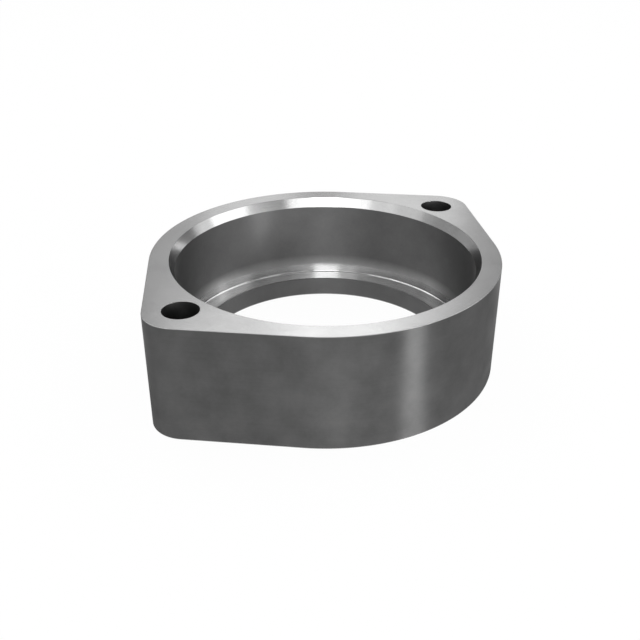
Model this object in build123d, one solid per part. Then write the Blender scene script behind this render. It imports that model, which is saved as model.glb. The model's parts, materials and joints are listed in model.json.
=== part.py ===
from build123d import *
import math
import os

# Two-bolt socket flange for the end of a steel pipe, turned and milled from one piece.
# The pipe drops into the socket from above and stands on the seat, and a bolt through
# each ear pulls the flange down on the gasket under it.
# Millimetres. +Z runs up the bore from the gasket face, and the ears lie along X.
# The origin is on the bore's axis, in the plane of the gasket face.

# The pipe that the flange is made for
pipe_outside_d = 88.9
pipe_wall = 5.49            # the standard wall of 3 inch pipe

# Socket
socket_clearance = 0.6      # all round fit of the pipe, on the diameter
socket_depth = 27.6         # from the top face to the seat
lead_in_depth = 3.0         # taper at the mouth that guides the pipe's end
lead_in_flare = 1.45        # how much wider the taper's mouth is, on the radius
seat_corner_radius = 0.8    # left by the nose of the boring tool

# Body
seat_thickness = 6.4        # steel under the pipe's end
body_wall = 7.25            # round the socket

# Ears
bolt_hole_d = 10.0
bolt_hole_land = 3.6        # steel between the socket and a bolt hole
ear_rim = 5.2               # steel round the outside of a bolt hole

# Finish
edge_break = 0.3            # deburred edges of the outline, holes and bore

# Sizes that follow from those
socket_r = (pipe_outside_d + socket_clearance) / 2
mouth_r = socket_r + lead_in_flare
waterway_r = pipe_outside_d / 2 - pipe_wall     # as wide as the pipe's own inside
body_r = socket_r + body_wall
bolt_hole_r = bolt_hole_d / 2
bolt_hole_x = socket_r + bolt_hole_land + bolt_hole_r
ear_r = bolt_hole_r + ear_rim
height = seat_thickness + socket_depth


def outline():
    """The flange from above: a round body, and two ears joined to it by straight flanks.

    Each flank touches the body's circle and the ear's at the same angle from the ears' line,
    whose cosine is the difference of the two radii over the distance of their centres.
    """
    flank = math.degrees(math.acos((body_r - ear_r) / bolt_hole_x))
    with BuildSketch() as shape:
        with BuildLine():
            right_ear = CenterArc((bolt_hole_x, 0), ear_r, -flank, 2 * flank)
            back = CenterArc((0, 0), body_r, flank, 180 - 2 * flank)
            left_ear = CenterArc((-bolt_hole_x, 0), ear_r, 180 - flank, 2 * flank)
            front = CenterArc((0, 0), body_r, 180 + flank, 180 - 2 * flank)
            Line(right_ear @ 1, back @ 0)
            Line(back @ 1, left_ear @ 0)
            Line(left_ear @ 1, front @ 0)
            Line(front @ 1, right_ear @ 0)
        make_face()
    return shape.sketch


def bore_section():
    """Half of the turned bore in the XZ plane: waterway, seat, socket and lead-in taper."""
    with BuildSketch(Plane.XZ) as section:
        with BuildLine():
            Polyline(
                (0, 0),
                (waterway_r + edge_break, 0),
                (waterway_r, edge_break),
                (waterway_r, seat_thickness - edge_break),
                (waterway_r + edge_break, seat_thickness),
                (socket_r, seat_thickness),
                (socket_r, height - lead_in_depth),
                (mouth_r, height),
                (0, height),
                close=True,
            )
        make_face()
        seat_corner = section.vertices().sort_by_distance((socket_r, seat_thickness))[0]
        fillet(seat_corner, seat_corner_radius)
    return section.sketch


def socket_flange():
    """The finished flange: blank, bolt holes, broken edges, then the bore."""
    with BuildPart() as flange:
        add(outline())
        extrude(amount=height)
        with Locations((-bolt_hole_x, 0, height / 2), (bolt_hole_x, 0, height / 2)):
            Cylinder(bolt_hole_r, height, mode=Mode.SUBTRACT)
        chamfer(flange.faces().filter_by(Axis.Z).edges(), edge_break)
        add(bore_section())
        revolve(axis=Axis.Z, mode=Mode.SUBTRACT)
    return flange.part


os.makedirs("parts", exist_ok=True)
export_step(socket_flange(), "parts/socket_flange.step")
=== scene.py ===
"""The looks of a thick two-bolt pipe flange of bare machined steel, round its CAD model.

The flange is one piece of steel, so one skin stands for the one CAD node. The skin has the
node's form, with smooth curves and softly broken edges, and one finish for each way in which
the steel was cut: faced top and bottom, tapered mouth, bored socket, seat, corner radius,
waterway, milled outer wall, drilled holes and deburred upper edges. The finishes also carry
painted light: the outer wall, the socket and the waterway have painted shade in a tone far
darker than the faces', the seat a painted highlight in a brighter one, and the feet of the
socket and of the outer wall a raised tone that is a painted highlight.

Lengths are in metres. +Z runs up the bore, and the two ears lie along X.
"""

import json
import logging
import math
from dataclasses import dataclass, replace
from enum import Enum
from typing import Any

import bpy
import numpy as np
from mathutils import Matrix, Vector


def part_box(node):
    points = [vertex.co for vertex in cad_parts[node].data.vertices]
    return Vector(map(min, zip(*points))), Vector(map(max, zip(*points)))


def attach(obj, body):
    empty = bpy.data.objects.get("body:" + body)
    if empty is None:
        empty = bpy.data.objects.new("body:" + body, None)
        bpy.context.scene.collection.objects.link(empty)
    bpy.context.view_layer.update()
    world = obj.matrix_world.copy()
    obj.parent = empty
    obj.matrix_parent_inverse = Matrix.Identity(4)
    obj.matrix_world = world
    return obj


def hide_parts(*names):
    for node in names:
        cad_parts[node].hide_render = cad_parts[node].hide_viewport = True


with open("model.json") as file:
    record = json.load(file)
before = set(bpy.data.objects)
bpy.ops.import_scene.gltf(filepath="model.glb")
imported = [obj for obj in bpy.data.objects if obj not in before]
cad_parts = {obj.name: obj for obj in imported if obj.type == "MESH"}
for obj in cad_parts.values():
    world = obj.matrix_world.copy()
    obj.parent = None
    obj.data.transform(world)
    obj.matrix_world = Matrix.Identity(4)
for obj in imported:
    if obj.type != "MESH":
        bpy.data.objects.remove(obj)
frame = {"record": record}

LOG = logging.getLogger("pipe_flange")
MM = 0.001

# How many finer waves the noise for clouds has, and that for grain and tool marks
CLOUD_OCTAVES = 3.0
FINE_OCTAVES = 2.0
# How strong each finer wave is, as a share of the one before
OCTAVE_SHARE = 0.55
# The part of a whole turn from along a wall's rings to across them
ACROSS_RINGS = 0.25


class Signal:
    """A shader socket that takes part in Python sums, where each sum adds a Math node.

    Attributes:
        shading: The node tree that the socket belongs to.
        socket: An output socket that holds one value.
    """

    def __init__(self, shading: "Shading", socket: bpy.types.NodeSocket) -> None:
        """Wraps an output socket of a node tree."""
        self.shading = shading
        self.socket = socket

    def _math(self, operation: str, *values: "Signal | float") -> "Signal":
        """The result of a new Math node, with the values in its sockets in order."""
        sockets = dict(enumerate(values))
        return self.shading.value("ShaderNodeMath", {"operation": operation}, sockets)

    def __add__(self, other: "Signal | float") -> "Signal":
        """This value plus another."""
        return self._math("ADD", self, other)

    __radd__ = __add__

    def __sub__(self, other: "Signal | float") -> "Signal":
        """This value less another."""
        return self._math("SUBTRACT", self, other)

    def __rsub__(self, other: float) -> "Signal":
        """A number less this value."""
        return self._math("SUBTRACT", other, self)

    def __mul__(self, other: "Signal | float") -> "Signal":
        """This value times another."""
        return self._math("MULTIPLY", self, other)

    __rmul__ = __mul__


class Shading:
    """The node tree of one material.

    Attributes:
        material: The material.
        tree: Its nodes and their links.
    """

    def __init__(self, name: str) -> None:
        """Makes an empty material.

        Args:
            name: The material's name.
        """
        self.material = bpy.data.materials.new(name)
        self.material.use_nodes = True
        self.tree = self.material.node_tree
        self.tree.nodes.clear()

    def node(
        self, kind: str, settings: dict[str, Any], sockets: dict[str | int, Any]
    ) -> bpy.types.Node:
        """Adds a node, sets it up and then fills its sockets.

        Args:
            kind: The node's type.
            settings: The node's own settings, which can change the sockets that it has.
            sockets: What goes into each input, by name or number: a Signal, a socket or a value.

        Returns:
            The node.
        """
        node = self.tree.nodes.new(kind)
        for name, value in settings.items():
            setattr(node, name, value)
        for key, value in sockets.items():
            if isinstance(key, int):
                target = node.inputs[key]
            else:
                target = next(s for s in node.inputs if s.name == key and s.enabled)
            if isinstance(value, Signal):
                value = value.socket
            if isinstance(value, bpy.types.NodeSocket):
                self.tree.links.new(value, target)
            else:
                target.default_value = value
        return node

    def value(
        self, kind: str, settings: dict[str, Any], sockets: dict[str | int, Any], output: str = ""
    ) -> Signal:
        """Adds a node and takes one output of it into sums.

        Args:
            kind: The node's type.
            settings: The node's own settings.
            sockets: What goes into each input.
            output: The output's name, or nothing for the first one in use.

        Returns:
            The output.
        """
        node = self.node(kind, settings, sockets)
        found = [s for s in node.outputs if s.enabled and output in ("", s.name)]
        return Signal(self, found[0])

    def place(self) -> bpy.types.NodeSocket:
        """The place on the object, in metres."""
        return self.node("ShaderNodeTexCoord", {}, {}).outputs["Object"]

    def stretched(self, place: bpy.types.NodeSocket, scale: tuple[float, ...]) -> Signal:
        """A place with each of its three coordinates multiplied by a factor of its own."""
        sockets = {"Vector": place, "Scale": scale}
        return self.value("ShaderNodeMapping", {"vector_type": "POINT"}, sockets)

    def noise(self, place: "Signal | bpy.types.NodeSocket", scale: float, detail: float) -> Signal:
        """Smooth noise at a place, from about -1 to 1, with scale waves to a unit."""
        sockets = {"Vector": place, "Scale": scale, "Detail": detail, "Roughness": OCTAVE_SHARE}
        return 2.0 * self.value("ShaderNodeTexNoise", {}, sockets, "Fac") - 1.0

    def clamped(self, value: Signal) -> Signal:
        """A value held between 0 and 1."""
        return self.value("ShaderNodeClamp", {}, {"Value": value})

    def grey(self, level: Signal) -> bpy.types.NodeSocket:
        """A neutral colour, with the level for its red, green and blue alike."""
        sockets = {"Red": level, "Green": level, "Blue": level}
        return self.node("ShaderNodeCombineColor", {"mode": "RGB"}, sockets).outputs["Color"]

    def finish(self, shader: bpy.types.Node) -> bpy.types.Material:
        """The finished material, with the shader sent to its surface."""
        self.node("ShaderNodeOutputMaterial", {}, {"Surface": shader.outputs[0]})
        return self.material


def plain_grey(level: float) -> tuple[float, ...]:
    """An opaque neutral colour of a given level."""
    return (level, level, level, 1.0)


def put_in(name: str, data: bpy.types.ID) -> bpy.types.Object:
    """Puts a mesh, a lamp or a camera in the scene.

    Args:
        name: The name of its object.
        data: The mesh, lamp or camera.

    Returns:
        The object, at the origin.
    """
    thing = bpy.data.objects.new(name, data)
    bpy.context.scene.collection.objects.link(thing)
    return thing


class Cut(Enum):
    """How a side of the flange was cut, which settles its finish.

    The number is also that of the side's material in the skin. FACED is the top and the bottom,
    OPENED the hole under the seat, and NOSED the corner at the foot of the socket, as round as
    the nose of the tool.
    """

    FACED = 0
    TAPERED = 1
    BORED = 2
    SEATED = 3
    OPENED = 4
    MILLED = 5
    DRILLED = 6
    NOSED = 7
    DEBURRED = 8


class Lay(Enum):
    """The way in which the marks of a cut run over the surface."""

    RINGS_ON_FACE = "rings round the bore, one outside the other"
    RINGS_ON_WALL = "rings round the bore, one above the other"


@dataclass(frozen=True)
class SteelFinish:
    """Bare steel as one kind of cut leaves it, with painted light in the tone of some cuts.

    Attributes:
        name: The material's name.
        lay: The way in which the tool marks run.
        tone: How much light the metal sends back, from 0 to 1.
        roughness: How far it blurs a reflection.
        clouding: How much the tone changes over a patch, as a share of it.
        mark_pitch: The distance between tool marks.
        mark_height: The height of a tool mark.
        smear: How much further a reflection is drawn out across the marks of a wall than along
            them, from 0 to 1.
        glance: How much of a plain metal's extra gloss it keeps at glancing angles.
        cloud_size: The width of a cloud.
        cloud_gloss: How much smoother than the rest a pale cloud is, as a share of clouding.
        grain_size: The width of a grain.
        grain_contrast: How much the tone changes with the grain and the marks, as a share of it.
        grain_height: The height of a grain, as a share of that of a tool mark.
        mark_blur: How much rougher the crest of a mark is, as a share of the roughness.
        drift_along_marks: How many times a mark changes over a metre of its length.
        waviness: The height of slow waves in the surface, as wide as the clouds.
        foot_top: The height up to which the foot of the cut looks unlike the rest, if it does.
        foot_fade: The height over which that dies out above it.
        foot_gloss: How much smoother it is there, as a share of the roughness. Below 0, it is
            rougher.
        foot_painted_highlight: How much brighter its tone is there, as a share of the tone: a
            painted highlight.
    """

    name: str
    lay: Lay
    tone: float
    roughness: float
    clouding: float
    mark_pitch: float
    mark_height: float
    smear: float = 0.0
    glance: float = 1.0
    cloud_size: float = 10 * MM
    cloud_gloss: float = 0.5
    grain_size: float = 0.9 * MM
    grain_contrast: float = 0.06
    grain_height: float = 0.5
    mark_blur: float = 0.06
    drift_along_marks: float = 30.0
    waviness: float = 0.0
    foot_top: float = 0.0
    foot_fade: float = 4 * MM
    foot_gloss: float = 0.0
    foot_painted_highlight: float = 0.0

    def marks(self, shading: Shading) -> Signal:
        """The tool marks: noise that is squeezed across the marks and drawn out along them.

        On a wall the noise is read at the height over the pitch of the marks, and on a face at
        the distance from the bore's axis over that pitch. In both, the place seen from above is
        added at a much coarser scale, so that a mark changes slowly along its length.

        Args:
            shading: The material's node tree.

        Returns:
            The height of the marks, from about -1 to 1.
        """
        place = shading.place()
        along = self.drift_along_marks
        across = 1.0 / self.mark_pitch
        if self.lay is Lay.RINGS_ON_WALL:
            read_at = shading.stretched(place, (along, along, across))
        else:
            flat = shading.stretched(place, (1.0, 1.0, 0.0))
            radius = shading.value(
                "ShaderNodeVectorMath", {"operation": "LENGTH"}, {0: flat}, "Value"
            )
            drift = shading.stretched(place, (along, along, 0.0))
            ring = shading.value("ShaderNodeCombineXYZ", {}, {"Z": radius * across})
            read_at = shading.value(
                "ShaderNodeVectorMath", {"operation": "ADD"}, {0: drift, 1: ring}, "Vector"
            )
        return shading.noise(read_at, 1.0, FINE_OCTAVES)

    def material(self) -> bpy.types.Material:
        """Builds the finish.

        The tone, the roughness and the height of the surface are sums of three noises: wide
        clouds, fine grain and the tool marks. Tone and roughness also change near the foot of
        the cut, where foot_top is given; the raised tone there is a painted highlight.

        Returns:
            Its material.
        """
        shading = Shading(self.name)
        place = shading.place()
        clouds = shading.noise(place, 1.0 / self.cloud_size, CLOUD_OCTAVES)
        grain = shading.noise(place, 1.0 / self.grain_size, FINE_OCTAVES)
        marks = self.marks(shading)
        tone = self.tone * (1.0 + self.clouding * clouds + self.grain_contrast * (grain + marks))
        smoother = self.cloud_gloss * self.clouding * clouds
        roughness = self.roughness * (1.0 - smoother + self.mark_blur * marks)
        if self.foot_top:
            above = shading.value("ShaderNodeSeparateXYZ", {}, {"Vector": place}, "Z")
            foot = 1.0 - shading.clamped((above - self.foot_top) * (1.0 / self.foot_fade))
            roughness = roughness * (1.0 - self.foot_gloss * foot)
            # Painted highlight: the tone is raised at the foot to stand in for light mirrored
            # there
            tone = tone * (1.0 + self.foot_painted_highlight * foot)
        height = self.mark_height * (marks + self.grain_height * grain) + self.waviness * clouds
        relief = shading.node(
            "ShaderNodeBump", {}, {"Strength": 1.0, "Distance": 1.0, "Height": height}
        )
        steel = shading.node(
            "ShaderNodeBsdfPrincipled",
            {},
            {
                "Base Color": shading.grey(tone),
                "Metallic": 1.0,
                "Roughness": roughness,
                "Anisotropic": self.smear,
                "Anisotropic Rotation": ACROSS_RINGS,
                "Specular Tint": plain_grey(self.glance),
                "Normal": relief.outputs["Normal"],
            },
        )
        return shading.finish(steel)


# Painted shade: the bore's and the waterway's tone is far darker than the faces' of the same steel
WATERWAY_STEEL_PAINTED_SHADE = SteelFinish(
    "waterway_steel",
    Lay.RINGS_ON_WALL,
    tone=0.158,
    roughness=0.55,
    clouding=0.16,
    mark_pitch=0.12 * MM,
    mark_height=0.0005 * MM,
    smear=0.85,
    waviness=0.008 * MM,
)

FINISHES: dict[Cut, SteelFinish] = {
    Cut.FACED: SteelFinish(
        "faced_steel",
        Lay.RINGS_ON_FACE,
        tone=0.48,
        roughness=0.2,
        clouding=0.13,
        mark_pitch=0.16 * MM,
        mark_height=0.0008 * MM,
    ),
    Cut.TAPERED: SteelFinish(
        "tapered_steel",
        Lay.RINGS_ON_WALL,
        tone=0.66,
        roughness=0.18,
        clouding=0.09,
        mark_pitch=0.12 * MM,
        mark_height=0.0005 * MM,
    ),
    # Cut like the waterway, with the same painted shade, glossier at the foot, and with a painted
    # highlight there: a raised tone that stands in for the seat's glint mirrored in the wall
    Cut.BORED: replace(
        WATERWAY_STEEL_PAINTED_SHADE, name="bored_steel", foot_top=9 * MM, foot_gloss=0.53, foot_painted_highlight=0.9
    ),
    # Painted highlight: the seat's tone is raised far above the faces' of the same steel, to
    # brighten its glint
    Cut.SEATED: SteelFinish(
        "seat_steel",
        Lay.RINGS_ON_FACE,
        tone=0.95,
        roughness=0.1,
        clouding=0.07,
        mark_pitch=0.12 * MM,
        mark_height=0.0005 * MM,
    ),
    Cut.OPENED: WATERWAY_STEEL_PAINTED_SHADE,
    # Painted shade: the outer wall's tone is far darker than the faces' of the same steel, and the
    # rise of its tone towards the foot is a painted highlight
    Cut.MILLED: SteelFinish(
        "milled_steel",
        Lay.RINGS_ON_WALL,
        tone=0.098,
        roughness=0.33,
        clouding=0.32,
        mark_pitch=0.3 * MM,
        mark_height=0.0008 * MM,
        smear=0.98,
        glance=0.6,
        waviness=0.02 * MM,
        foot_top=1 * MM,
        foot_fade=33 * MM,
        foot_gloss=-0.3,
        foot_painted_highlight=0.17,
    ),
    Cut.DRILLED: SteelFinish(
        "drilled_steel",
        Lay.RINGS_ON_WALL,
        tone=0.24,
        roughness=0.34,
        clouding=0.12,
        mark_pitch=0.1 * MM,
        mark_height=0.001 * MM,
    ),
    Cut.NOSED: SteelFinish(
        "corner_steel",
        Lay.RINGS_ON_WALL,
        tone=0.58,
        roughness=0.07,
        clouding=0.05,
        mark_pitch=0.12 * MM,
        mark_height=0.0003 * MM,
    ),
    Cut.DEBURRED: SteelFinish(
        "deburred_steel",
        Lay.RINGS_ON_WALL,
        tone=0.3,
        roughness=0.3,
        clouding=0.1,
        mark_pitch=0.12 * MM,
        mark_height=0.0005 * MM,
    ),
}


@dataclass(frozen=True)
class Corner:
    """A corner of a profile.

    Attributes:
        out: How far out from the path it lies.
        up: Its height.
        rounding: The radius of its rounding.
        cut: How the side after it was cut.
        rounding_cut: How its rounding was cut, if in another way than the side after it.
    """

    out: float
    up: float
    rounding: float = 0.0
    cut: Cut = Cut.FACED
    rounding_cut: Cut | None = None


@dataclass(frozen=True)
class Section:
    """A profile that is carried along a path.

    Attributes:
        points: One row for each point, how far out from the path it lies and how high.
        normals: The surface's outward direction at each point, in the same two directions.
        cuts: The number of the cut of the short side that starts at each point.
    """

    points: np.ndarray
    normals: np.ndarray
    cuts: np.ndarray

    @classmethod
    def rounded(cls, corners: list[Corner], steps: int) -> "Section":
        """Rounds the corners of a profile that has the steel on its left.

        At a corner the profile turns by some angle. The arc of the given radius that touches both
        sides starts before the corner by the radius times the tangent of half that angle. Its
        centre is one radius from that point, at right angles to the first side, on the steel's
        side for a left turn and on the other for a right turn. Along the arc the normal turns
        evenly from that of one side to that of the next, and each point is the centre plus or
        minus the radius times the normal.

        Args:
            corners: The corners. The first and the last are only the ends that the outermost
                sides point to, and are left out.
            steps: How many short sides each arc has.

        Returns:
            The profile, from the first arc to the last.
        """
        places = np.array([(corner.out, corner.up) for corner in corners])
        sides = np.diff(places, axis=0)
        sides /= np.linalg.norm(sides, axis=1, keepdims=True)
        before, after = sides[:-1], sides[1:]
        cross = before[:, 0] * after[:, 1] - before[:, 1] * after[:, 0]
        turn = np.arctan2(cross, (before * after).sum(1))
        radius = np.array([corner.rounding for corner in corners[1:-1]])
        first_normal = np.stack([before[:, 1], -before[:, 0]], axis=1)
        start = places[1:-1] - before * (radius * np.tan(np.abs(turn) / 2))[:, None]
        bend = (np.sign(turn) * radius)[:, None]
        centre = start - bend * first_normal
        share = np.linspace(0.0, 1.0, steps + 1)
        angle = np.arctan2(first_normal[:, 1], first_normal[:, 0])[:, None] + turn[:, None] * share
        normals = np.stack([np.cos(angle), np.sin(angle)], axis=2)
        points = centre[:, None] + bend[:, None] * normals
        cuts = [
            [(corner.rounding_cut or corner.cut).value] * steps + [corner.cut.value]
            for corner in corners[1:-1]
        ]
        return cls(points.reshape(-1, 2), normals.reshape(-1, 2), np.concatenate(cuts))

    def with_steps(self, longest: float) -> "Section":
        """Divides the straight sides evenly, so that none is longer than a given length.

        Args:
            longest: The greatest distance between two neighbouring points.

        Returns:
            The divided profile.
        """
        gaps = np.linalg.norm(np.diff(self.points, axis=0), axis=1)
        counts = np.maximum(1, np.ceil(gaps / longest)).astype(int)
        side = np.repeat(np.arange(len(gaps)), counts)
        within = np.arange(len(side)) - np.repeat(np.cumsum(counts) - counts, counts)
        share = (within / counts[side])[:, None]
        points = self.points[side] * (1 - share) + self.points[side + 1] * share
        normals = self.normals[side] * (1 - share) + self.normals[side + 1] * share
        return Section(
            np.vstack([points, self.points[-1:]]),
            np.vstack([normals, self.normals[-1:]]),
            np.append(self.cuts[side], self.cuts[-1]),
        )

    def carried(self, origins: np.ndarray, outward: np.ndarray) -> tuple[np.ndarray, np.ndarray]:
        """Carries the profile along a path, standing upright across it.

        A point of the surface is the path's point, plus the outward direction there times how far
        out the profile's point lies, at the profile's height. Its normal is worked out in the
        same way from the profile's normal.

        Args:
            origins: The path's points, in X and Y.
            outward: The horizontal outward direction at each of them.

        Returns:
            The points and the normals, each as rows along the path, one row for each point of
            the profile.
        """
        out, height = self.points[:, 0, None], self.points[:, 1, None]
        across = np.ones(len(origins))
        points = np.stack(
            [
                origins[:, 0] + out * outward[:, 0],
                origins[:, 1] + out * outward[:, 1],
                height * across,
            ],
            axis=2,
        )
        normal_out, normal_up = self.normals[:, 0, None], self.normals[:, 1, None]
        normals = np.stack(
            [normal_out * outward[:, 0], normal_out * outward[:, 1], normal_up * across], axis=2
        )
        return points, normals


class Skin:
    """Gathers the points, normals and faces of one closed surface.

    Attributes:
        points: The points, in one block for each grid that was taken in.
        normals: The normal at each of them, in the same blocks.
        faces: The numbers of the four points of each face, in blocks.
        cuts: The number of the cut of each face, in the same blocks as the faces.
        count: How many points there are so far.
    """

    def __init__(self) -> None:
        """Starts with no points."""
        self.points: list[np.ndarray] = []
        self.normals: list[np.ndarray] = []
        self.faces: list[np.ndarray] = []
        self.cuts: list[np.ndarray] = []
        self.count = 0

    def add(self, points: np.ndarray, normals: np.ndarray) -> np.ndarray:
        """Takes in a grid of points.

        Args:
            points: Rows of points.
            normals: The normal at each of them.

        Returns:
            The number of each point, in the same rows.
        """
        rows, columns = points.shape[:2]
        numbers = self.count + np.arange(rows * columns).reshape(rows, columns)
        self.points.append(points.reshape(-1, 3))
        self.normals.append(normals.reshape(-1, 3))
        self.count += rows * columns
        return numbers

    def between(self, start: np.ndarray, end: np.ndarray, rows: int, up: float) -> np.ndarray:
        """Fills a flat band with rows that are straight blends of its two edges.

        Args:
            start: The numbers of the points on one edge.
            end: The numbers of the points on the other.
            rows: How many rows to add between them.
            up: 1 for a band that faces up, -1 for one that faces down.

        Returns:
            The numbers of all rows, the two edges included.
        """
        known = np.vstack(self.points)
        share = (np.arange(1, rows + 1) / (rows + 1))[:, None, None]
        points = known[start] * (1 - share) + known[end] * share
        normals = np.zeros_like(points)
        normals[..., 2] = up
        return np.vstack([start[None], self.add(points, normals), end[None]])

    def cover(
        self, numbers: np.ndarray, cuts: "np.ndarray | Cut", closed: bool = True
    ) -> None:
        """Lays four-sided faces over rows of points.

        The rows follow a profile that has the steel on its left, and the points of a row run
        counterclockwise seen from above, so that the faces look outwards.

        Args:
            numbers: The numbers of the points, in rows.
            cuts: The cut of all faces, or the number of the cut of each row's faces.
            closed: True if each row runs round to its own start.
        """
        here = numbers if closed else numbers[:, :-1]
        ahead = np.roll(numbers, -1, axis=1) if closed else numbers[:, 1:]
        quads = np.stack([here[:-1], ahead[:-1], ahead[1:], here[1:]], axis=2)
        per_row = cuts.value if isinstance(cuts, Cut) else cuts[:-1, None]
        self.faces.append(quads.reshape(-1, 4))
        self.cuts.append(np.broadcast_to(per_row, quads.shape[:2]).ravel())

    def mesh(self, name: str) -> bpy.types.Mesh:
        """Makes the mesh, shaded by the surface's own normals.

        Args:
            name: The mesh's name.

        Returns:
            The mesh.
        """
        faces = np.vstack(self.faces)
        mesh = bpy.data.meshes.new(name)
        mesh.vertices.add(self.count)
        mesh.vertices.foreach_set("co", np.vstack(self.points).astype(np.float32).ravel())
        mesh.loops.add(faces.size)
        mesh.loops.foreach_set("vertex_index", faces.astype(np.int32).ravel())
        mesh.polygons.add(len(faces))
        mesh.polygons.foreach_set("loop_start", np.arange(0, faces.size, 4, dtype=np.int32))
        mesh.polygons.foreach_set("material_index", np.concatenate(self.cuts).astype(np.int32))
        mesh.update(calc_edges=True)
        mesh.shade_smooth()
        mesh.normals_split_custom_set_from_vertices(np.vstack(self.normals))
        return mesh


@dataclass(frozen=True)
class SocketFlange:
    """The flange: its sizes, its skin and its finishes.

    Attributes:
        height: From the gasket face to the top face.
        body_radius: Of the round body.
        ear_radius: Of the round end of an ear.
        hole_spacing: Between the axes of the two bolt holes.
        hole_radius: Of a bolt hole.
        socket_radius: Of the wall that takes the pipe.
        socket_top: The height at which the socket's wall meets the lead-in taper.
        seat_height: Of the seat that the pipe stands on.
        waterway_radius: Of the hole under the seat.
        lead_in_flare: How much wider than the socket the taper's mouth is, on the radius.
        edge_break: The rounding of the lower outer edge, the lower hole mouths, the seat's inner
            edge and the bore's lower edge.
        fine_break: The rounding of the upper outer edge, the upper hole mouths and the two edges
            of the taper.
        seat_corner: The radius of the corner at the foot of the socket.
        around: How many columns of points the skin has round the flange.
        arc_steps: How many short sides each rounding has.
        face_rows: How many rows of points a flat face has between its edges.
        longest_step: The greatest distance between two rows of points on a wall.
        ear_reach: How far the faces round a bolt hole run along the outline, from the ear's tip
            to each side.
    """

    height: float
    body_radius: float
    ear_radius: float
    hole_spacing: float
    hole_radius: float
    socket_radius: float
    socket_top: float
    seat_height: float
    waterway_radius: float
    lead_in_flare: float = 1.45 * MM
    edge_break: float = 0.3 * MM
    fine_break: float = 0.12 * MM
    seat_corner: float = 0.4 * MM
    around: int = 720
    arc_steps: int = 4
    face_rows: int = 5
    longest_step: float = 3 * MM
    ear_reach: float = 27 * MM

    @classmethod
    def from_frame(cls, record: dict[str, Any], node: str) -> "SocketFlange":
        """Reads the sizes from the CAD model's mounts and box.

        Args:
            record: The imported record.
            node: The CAD node's name.

        Returns:
            The flange.
        """
        mounts = {mount["name"]: mount for mount in record["mounts"]}
        socket, waterway, bolts = mounts["socket"], mounts["waterway"], mounts["bolt_holes"]
        half_wall = socket["dims"]["length_mm"] * MM / 2
        spacing = bolts["dims"]["spacing_x_mm"] * MM
        _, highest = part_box(node)
        return cls(
            height=highest.z,
            body_radius=highest.y,
            ear_radius=highest.x - spacing / 2,
            hole_spacing=spacing,
            hole_radius=bolts["dims"]["hole_r_mm"] * MM,
            socket_radius=socket["dims"]["r_mm"] * MM,
            socket_top=socket["pos_m"][2] + half_wall,
            seat_height=mounts["pipe_seat"]["pos_m"][2],
            waterway_radius=waterway["dims"]["r_mm"] * MM,
        )

    def outline(self) -> tuple[np.ndarray, np.ndarray]:
        """The flange's outline from above, at even steps along it from the tip of the +X ear.

        The outline is four arcs joined by tangent flanks. A point of it is a centre on the ears'
        line plus a radius times the outward direction. Along an arc only the direction turns, and
        along a flank it stays while centre and radius go over from one arc's to the next's. The
        direction's angle on a flank is that whose cosine is the difference of the two radii over
        the distance of their centres.

        Returns:
            The points and the outward directions, in X and Y.
        """
        reach = self.hole_spacing / 2
        flank = math.acos((self.body_radius - self.ear_radius) / reach)
        ear = self.ear_radius * flank
        side = reach * math.sin(flank)
        body = self.body_radius * (math.pi / 2 - flank)
        stretches = [ear, side, body, body, side, ear] * 2
        knots = np.concatenate([[0.0], np.cumsum(stretches)])
        turned = [0.0, flank, flank, math.pi / 2, math.pi - flank, math.pi - flank, math.pi]
        angles = turned + [math.pi + angle for angle in turned[1:]]
        half = [reach, reach, 0.0, 0.0, 0.0, -reach, -reach]
        centres = half + [-centre for centre in half[1:]]
        ear_r, body_r = self.ear_radius, self.body_radius
        radii = [ear_r, ear_r, body_r, body_r, body_r, ear_r] * 2 + [ear_r]
        along = knots[-1] * np.arange(self.around) / self.around
        angle = np.interp(along, knots, angles)
        outward = np.stack([np.cos(angle), np.sin(angle)], axis=1)
        points = outward * np.interp(along, knots, radii)[:, None]
        points[:, 0] += np.interp(along, knots, centres)
        return points, outward

    def profile(self, corners: list[Corner]) -> Section:
        """A profile with its corners rounded and its long sides divided."""
        return Section.rounded(corners, self.arc_steps).with_steps(self.longest_step)

    def outer_profile(self) -> Section:
        """The outer wall, from its lower edge to its upper one.

        Returns:
            The profile, with the outline as its path.
        """
        return self.profile(
            [
                Corner(-self.ear_radius, 0.0),
                Corner(0.0, 0.0, self.edge_break, Cut.MILLED, Cut.FACED),
                Corner(0.0, self.height, self.fine_break, Cut.FACED, Cut.DEBURRED),
                Corner(-self.ear_radius, self.height),
            ]
        )

    def bore_profile(self) -> Section:
        """The bore from the top: lead-in taper, socket, corner radius, seat and waterway.

        Returns:
            The profile, measured out from the bore's axis.
        """
        mouth = self.socket_radius + self.lead_in_flare
        return self.profile(
            [
                Corner(self.body_radius, self.height),
                Corner(mouth, self.height, self.fine_break, Cut.TAPERED, Cut.DEBURRED),
                Corner(self.socket_radius, self.socket_top, self.fine_break, Cut.BORED),
                Corner(
                    self.socket_radius, self.seat_height, self.seat_corner, Cut.SEATED, Cut.NOSED
                ),
                Corner(self.waterway_radius, self.seat_height, self.edge_break, Cut.OPENED),
                Corner(self.waterway_radius, 0.0, self.edge_break, Cut.FACED),
                Corner(self.body_radius, 0.0),
            ]
        )

    def hole_profile(self) -> Section:
        """The wall of a bolt hole, from its upper mouth to its lower one.

        Returns:
            The profile, measured out from the hole's axis.
        """
        return self.profile(
            [
                Corner(self.ear_radius, self.height),
                Corner(self.hole_radius, self.height, self.fine_break, Cut.DRILLED, Cut.DEBURRED),
                Corner(self.hole_radius, 0.0, self.edge_break, Cut.FACED),
                Corner(self.ear_radius, 0.0),
            ]
        )

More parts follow.
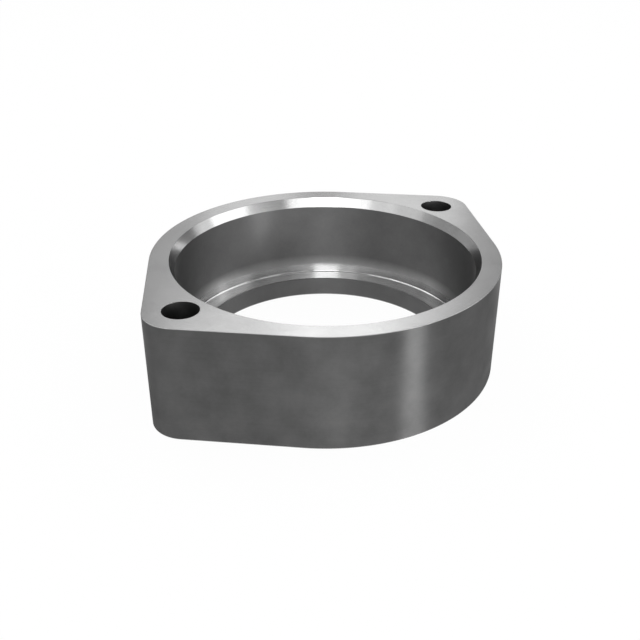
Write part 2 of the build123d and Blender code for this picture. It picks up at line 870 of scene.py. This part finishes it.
    def build(self) -> Skin:
        """Joins the outer wall, the bore, the bolt holes and the two flat faces.

        A column of the bore stands at the same angle round the axis as the outline's point of
        that number, and the columns of the flat faces join the two. Each ear has a gap in these
        faces, which its own faces round the bolt hole fill.

        Returns:
            The closed skin.
        """
        skin = Skin()
        outline, outward = self.outline()
        polar = np.arctan2(outline[:, 1], outline[:, 0])
        from_axis = np.stack([np.cos(polar), np.sin(polar)], axis=1)
        outer, inner = self.outer_profile(), self.bore_profile()
        wall = skin.add(*outer.carried(outline, outward))
        bore = skin.add(*inner.carried(np.zeros_like(outline), from_axis))
        top = skin.between(wall[-1], bore[0], self.face_rows, 1.0)
        bottom = skin.between(bore[-1], wall[0], self.face_rows, -1.0)
        skin.cover(wall, outer.cuts)
        skin.cover(bore, inner.cuts)
        step = np.linalg.norm(outline[1] - outline[0])
        reach = round(self.ear_reach / step)
        half = self.around // 2
        for tip in (0, half):
            columns = np.arange(tip + reach, tip + half - reach + 1) % self.around
            skin.cover(top[:, columns], Cut.FACED, closed=False)
            skin.cover(bottom[:, columns], Cut.FACED, closed=False)
            self.add_ear(skin, top, bottom, tip, reach)
        return skin

    def add_ear(
        self, skin: Skin, top: np.ndarray, bottom: np.ndarray, tip: int, reach: int
    ) -> None:
        """Adds the faces of one ear round its bolt hole, and the hole's wall.

        The wall is the hole's profile, carried round its axis. It has one column for each point
        on the edge of the ear's gap, in the direction from the axis to that point.

        Args:
            skin: The skin so far.
            top: The numbers of the top face's points, in rows from the outline inwards.
            bottom: The numbers of the bottom face's points, in rows from the bore outwards.
            tip: The column at the ear's tip.
            reach: How many columns the ear has to each side of its tip.
        """
        upper = self.ear_loop(top, tip, reach)
        lower = self.ear_loop(bottom[::-1], tip, reach)
        side = 1.0 if tip == 0 else -1.0
        axis = np.array([side * self.hole_spacing / 2, 0.0])
        spokes = np.vstack(skin.points)[upper, :2] - axis
        spokes /= np.linalg.norm(spokes, axis=1, keepdims=True)
        profile = self.hole_profile()
        hole = skin.add(*profile.carried(np.tile(axis, (len(spokes), 1)), spokes))
        skin.cover(skin.between(upper, hole[0], self.face_rows, 1.0), Cut.FACED)
        skin.cover(hole, profile.cuts)
        skin.cover(skin.between(hole[-1], lower, self.face_rows, -1.0), Cut.FACED)

    def ear_loop(self, rows: np.ndarray, tip: int, reach: int) -> np.ndarray:
        """The edge of the gap that a flat face leaves at an ear, counterclockwise from above.

        Args:
            rows: The numbers of the face's points, in rows from the outline to the bore.
            tip: The column at the ear's tip.
            reach: How many columns the gap has to each side of it.

        Returns:
            The numbers of the points round the gap.
        """
        columns = np.arange(tip - reach, tip + reach + 1) % self.around
        return np.concatenate(
            [
                rows[0, columns],
                rows[1:-1, columns[-1]],
                rows[-1, columns[::-1]],
                rows[-2:0:-1, columns[0]],
            ]
        )

    def dressed(self, name: str) -> bpy.types.Object:
        """Makes the piece, with its finishes.

        Args:
            name: The piece's name.

        Returns:
            The object.
        """
        mesh = self.build().mesh(name)
        for cut in Cut:
            mesh.materials.append(FINISHES[cut].material())
        return put_in(name, mesh)


def direction(azimuth: float, elevation: float) -> Vector:
    """The direction from the object to something round it.

    Args:
        azimuth: In degrees, 0 towards -Y and 90 towards +X.
        elevation: In degrees above the horizon.

    Returns:
        The direction, of length 1.
    """
    turn, rise = math.radians(azimuth), math.radians(elevation)
    level = math.cos(rise)
    return Vector((math.sin(turn) * level, -math.cos(turn) * level, math.sin(rise)))


@dataclass(frozen=True)
class Softbox:
    """A rectangular lamp with an even white front, turned towards the object.

    Attributes:
        name: The lamp's name.
        azimuth: In degrees, as direction() counts it.
        elevation: In degrees above the horizon.
        width: How many degrees of azimuth it spans from side to side. High up, where degrees of
            azimuth crowd together, it is the plain angle at the object instead.
        height: How many degrees it spans from bottom to top, seen from the object.
        brightness: Of its front, where 1 shows as white.
        distance: From the object.
        high_up: The elevation from which its width is a plain angle.
    """

    name: str
    azimuth: float
    elevation: float
    width: float
    height: float
    brightness: float
    distance: float = 1.3
    high_up: float = 60.0

    def place(self) -> None:
        """Puts the lamp in the scene.

        A side that spans an angle is twice the distance times the tangent of half that angle,
        and a width in azimuth is less by the cosine of the elevation. A front of brightness 1
        takes a power of pi times its area.
        """
        low = self.elevation < self.high_up
        reach = math.cos(math.radians(self.elevation)) if low else 1.0
        lamp = bpy.data.lights.new(self.name, "AREA")
        lamp.shape = "RECTANGLE"
        lamp.size = 2 * self.distance * reach * math.tan(math.radians(self.width / 2))
        lamp.size_y = 2 * self.distance * math.tan(math.radians(self.height / 2))
        lamp.energy = self.brightness * math.pi * lamp.size * lamp.size_y
        stand = put_in(self.name, lamp)
        towards = direction(self.azimuth, self.elevation)
        stand.location = towards * self.distance
        stand.rotation_euler = towards.to_track_quat("Z", "Y").to_euler()
        stand.visible_camera = False


@dataclass(frozen=True)
class Flag:
    """A dark card that keeps the pale backdrop out of a part of the metal.

    Attributes:
        name: The card's name.
        azimuth: In degrees, as direction() counts it.
        elevation: In degrees above the horizon.
        width: How many degrees of azimuth it spans from side to side.
        height: How many degrees of elevation it spans from bottom to top.
        tone: The card's colour, a grey from 0 to 1.
        distance: From the object.
    """

    name: str
    azimuth: float
    elevation: float
    width: float
    height: float
    tone: float
    distance: float = 1.5

    def place(self) -> None:
        """Puts the card in the scene, out of the camera's sight.

        Its four corners lie at the given distance, in the directions at which its width and its
        height begin and end.
        """
        left, right = self.azimuth - self.width / 2, self.azimuth + self.width / 2
        low, high = self.elevation - self.height / 2, self.elevation + self.height / 2
        corners = [(left, low), (right, low), (right, high), (left, high)]
        mesh = bpy.data.meshes.new(self.name)
        mesh.from_pydata([direction(*at) * self.distance for at in corners], [], [range(4)])
        shading = Shading(self.name)
        card = shading.node("ShaderNodeBsdfDiffuse", {}, {"Color": plain_grey(self.tone)})
        mesh.materials.append(shading.finish(card))
        stand = put_in(self.name, mesh)
        stand.visible_camera = False


@dataclass(frozen=True)
class Studio:
    """A pale floor and backdrop, soft lamps, dark cards and the camera.

    Attributes:
        ground_radius: Of the round floor, from the object to the backdrop.
        ground_gap: How far the floor lies under the object, so that the two don't coincide.
        ground_sides: How many straight sides stand for the round edge.
        wall_height: Of the low backdrop.
        floor_tone: How much light the floor sends back.
        floor_glow: How far the floor shows as plain white instead, from 0 to 1, both straight and
            in the metal. The rest of it keeps the object's shadow.
        room_tone: The brightness of the room round it.
        camera_azimuth: In degrees, as direction() counts it.
        camera_elevation: In degrees above the horizon.
        camera_distance: From the point that it aims at.
        camera_aim: That point.
        lens: The lens's focal length in millimetres, on a sensor 36 mm wide.
        softboxes: The lamps.
        flags: The dark cards.
    """

    ground_radius: float = 3.0
    ground_gap: float = 0.05 * MM
    ground_sides: int = 64
    wall_height: float = 0.62
    floor_tone: float = 0.9
    floor_glow: float = 0.97
    room_tone: float = 0.25
    camera_azimuth: float = -45.0
    camera_elevation: float = 28.48
    camera_distance: float = 259.69 * MM
    camera_aim: tuple[float, float, float] = (-3.02 * MM, -0.86 * MM, 12.10 * MM)
    lens: float = 47.39
    # Name, azimuth, elevation, width, height and brightness
    softboxes: tuple[Softbox, ...] = (
        # On the camera's side and round the left, for the taper and the bore
        Softbox("key", -48, 33.5, 68, 11, 1.45),
        Softbox("key_core", -46.5, 27, 21, 20, 4.8),
        Softbox("core_left", -64.5, 23.5, 15, 9, 1.8),
        Softbox("core_right", -30.5, 23.5, 11, 9, 1.0),
        Softbox("left", -93, 27.5, 24, 17, 0.72),
        Softbox("beside_left", -118, 27.5, 26, 17, 0.52),
        Softbox("far_left", -144, 27.5, 26, 17, 0.22),
        Softbox("high_left", -173, 53, 60, 28, 2.8),
        # Round the right, for the taper
        Softbox("right_fill", 2, 22.5, 33, 9, 1.0),
        Softbox("right", 38, 26, 34, 20, 1.4),
        Softbox("far_right", 62, 20, 26, 20, 0.55),
        Softbox("high_right", 77.5, 46, 55, 28, 2.3),
        # Close to the floor, for the outer wall
        Softbox("low_strip", 8, 9, 12, 16, 19.5),
        Softbox("low_beside_strip", -2.5, 11, 10, 18, 0.8),
        Softbox("low_front", -24, 10, 30, 16, 3.0),
        Softbox("low_left", -97, 10, 56, 16, 0.8),
        # Behind the flange, for the top face
        Softbox("behind_right", 125.75, 33, 6, 10, 0.55),
        Softbox("behind", 133.5, 33.5, 11, 9, 1.76),
        Softbox("behind_left", 144.5, 35, 11, 8, 1.22),
        Softbox("behind_wide", 135, 26, 34, 24, 0.31),
        Softbox("behind_low_right", 128, 21, 10, 16, 0.55),
        Softbox("behind_low_left", 141, 21, 8, 16, 0.49),
        # High up, for the corner at the foot of the socket
        Softbox("overhead", 0, 90, 40, 40, 0.65),
        Softbox("line_left", -155, 68, 26, 12, 2.3),
        Softbox("line_right", 65, 68, 26, 12, 1.2),
    )
    # Name, azimuth, elevation, width, height and tone
    flags: tuple[Flag, ...] = (
        Flag("right_flag", 88, 6.5, 40, 13, 0.2),
        Flag("left_flag", -177, 6, 42, 12, 0.4),
    )

    def pale(self) -> bpy.types.Material:
        """The floor's and the backdrop's material, white to look at but open to shadows.

        Returns:
            The material.
        """
        shading = Shading("pale_ground")
        paint = shading.node("ShaderNodeBsdfDiffuse", {}, {"Color": plain_grey(self.floor_tone)})
        white = shading.node("ShaderNodeEmission", {}, {"Strength": 1.0})
        path = shading.node("ShaderNodeLightPath", {}, {})
        kinds = ("Is Camera Ray", "Is Glossy Ray", "Is Transmission Ray")
        seen = sum(Signal(shading, path.outputs[kind]) for kind in kinds)
        mixed = shading.node(
            "ShaderNodeMixShader",
            {},
            {0: self.floor_glow * seen, 1: paint.outputs[0], 2: white.outputs[0]},
        )
        return shading.finish(mixed)

    def ground(self) -> None:
        """Lays a round floor just under the object, with a low wall on its edge.

        The points lie on two circles round the object, one at the floor's height for its edge
        and the wall's foot, and one at the wall's height.
        """
        turn = 2 * np.pi * np.arange(self.ground_sides) / self.ground_sides
        circle = self.ground_radius * np.stack([np.cos(turn), np.sin(turn)], axis=1)
        low = np.insert(circle, 2, -self.ground_gap, axis=1)
        high = np.insert(circle, 2, self.wall_height, axis=1)
        here = np.arange(self.ground_sides)
        ahead = np.roll(here, -1)
        above = here + self.ground_sides
        sides = np.stack([ahead, here, above, np.roll(above, -1)], axis=1)
        material = self.pale()
        shapes = {
            "floor": (low, [here.tolist()]),
            "backdrop": (np.vstack([low, high]), sides.tolist()),
        }
        for name, (points, faces) in shapes.items():
            mesh = bpy.data.meshes.new(name)
            mesh.from_pydata(points.tolist(), [], faces)
            mesh.materials.append(material)
            ground = put_in(name, mesh)

    def room(self) -> None:
        """Surrounds the scene with an even light."""
        world = bpy.data.worlds.new("room")
        world.use_nodes = True
        background = world.node_tree.nodes["Background"]
        background.inputs["Color"].default_value = plain_grey(self.room_tone)
        bpy.context.scene.world = world

    def camera(self) -> None:
        """Sets up the camera at the photograph's angle."""
        eye = bpy.data.cameras.new("camera")
        eye.lens = self.lens
        camera = put_in("camera", eye)
        back = direction(self.camera_azimuth, self.camera_elevation)
        camera.location = Vector(self.camera_aim) + back * self.camera_distance
        camera.rotation_euler = (-back).to_track_quat("-Z", "Y").to_euler()
        bpy.context.scene.camera = camera

    def build(self) -> None:
        """Puts the whole studio in place."""
        self.ground()
        self.room()
        for softbox in self.softboxes:
            softbox.place()
        for flag in self.flags:
            flag.place()
        self.camera()
        bpy.context.scene.view_settings.view_transform = "Standard"


def main() -> None:
    """Builds the flange and its studio."""
    logging.basicConfig(level=logging.INFO, format="%(name)s: %(message)s")
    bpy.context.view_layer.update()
    node = "socket_flange"
    flange = SocketFlange.from_frame(frame["record"], node)
    piece = flange.dressed("socket_flange_skin")
    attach(piece, "root")
    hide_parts(node)
    LOG.info("%s: %d faces", piece.name, len(piece.data.polygons))
    Studio().build()


if __name__ == "__main__":
    main()
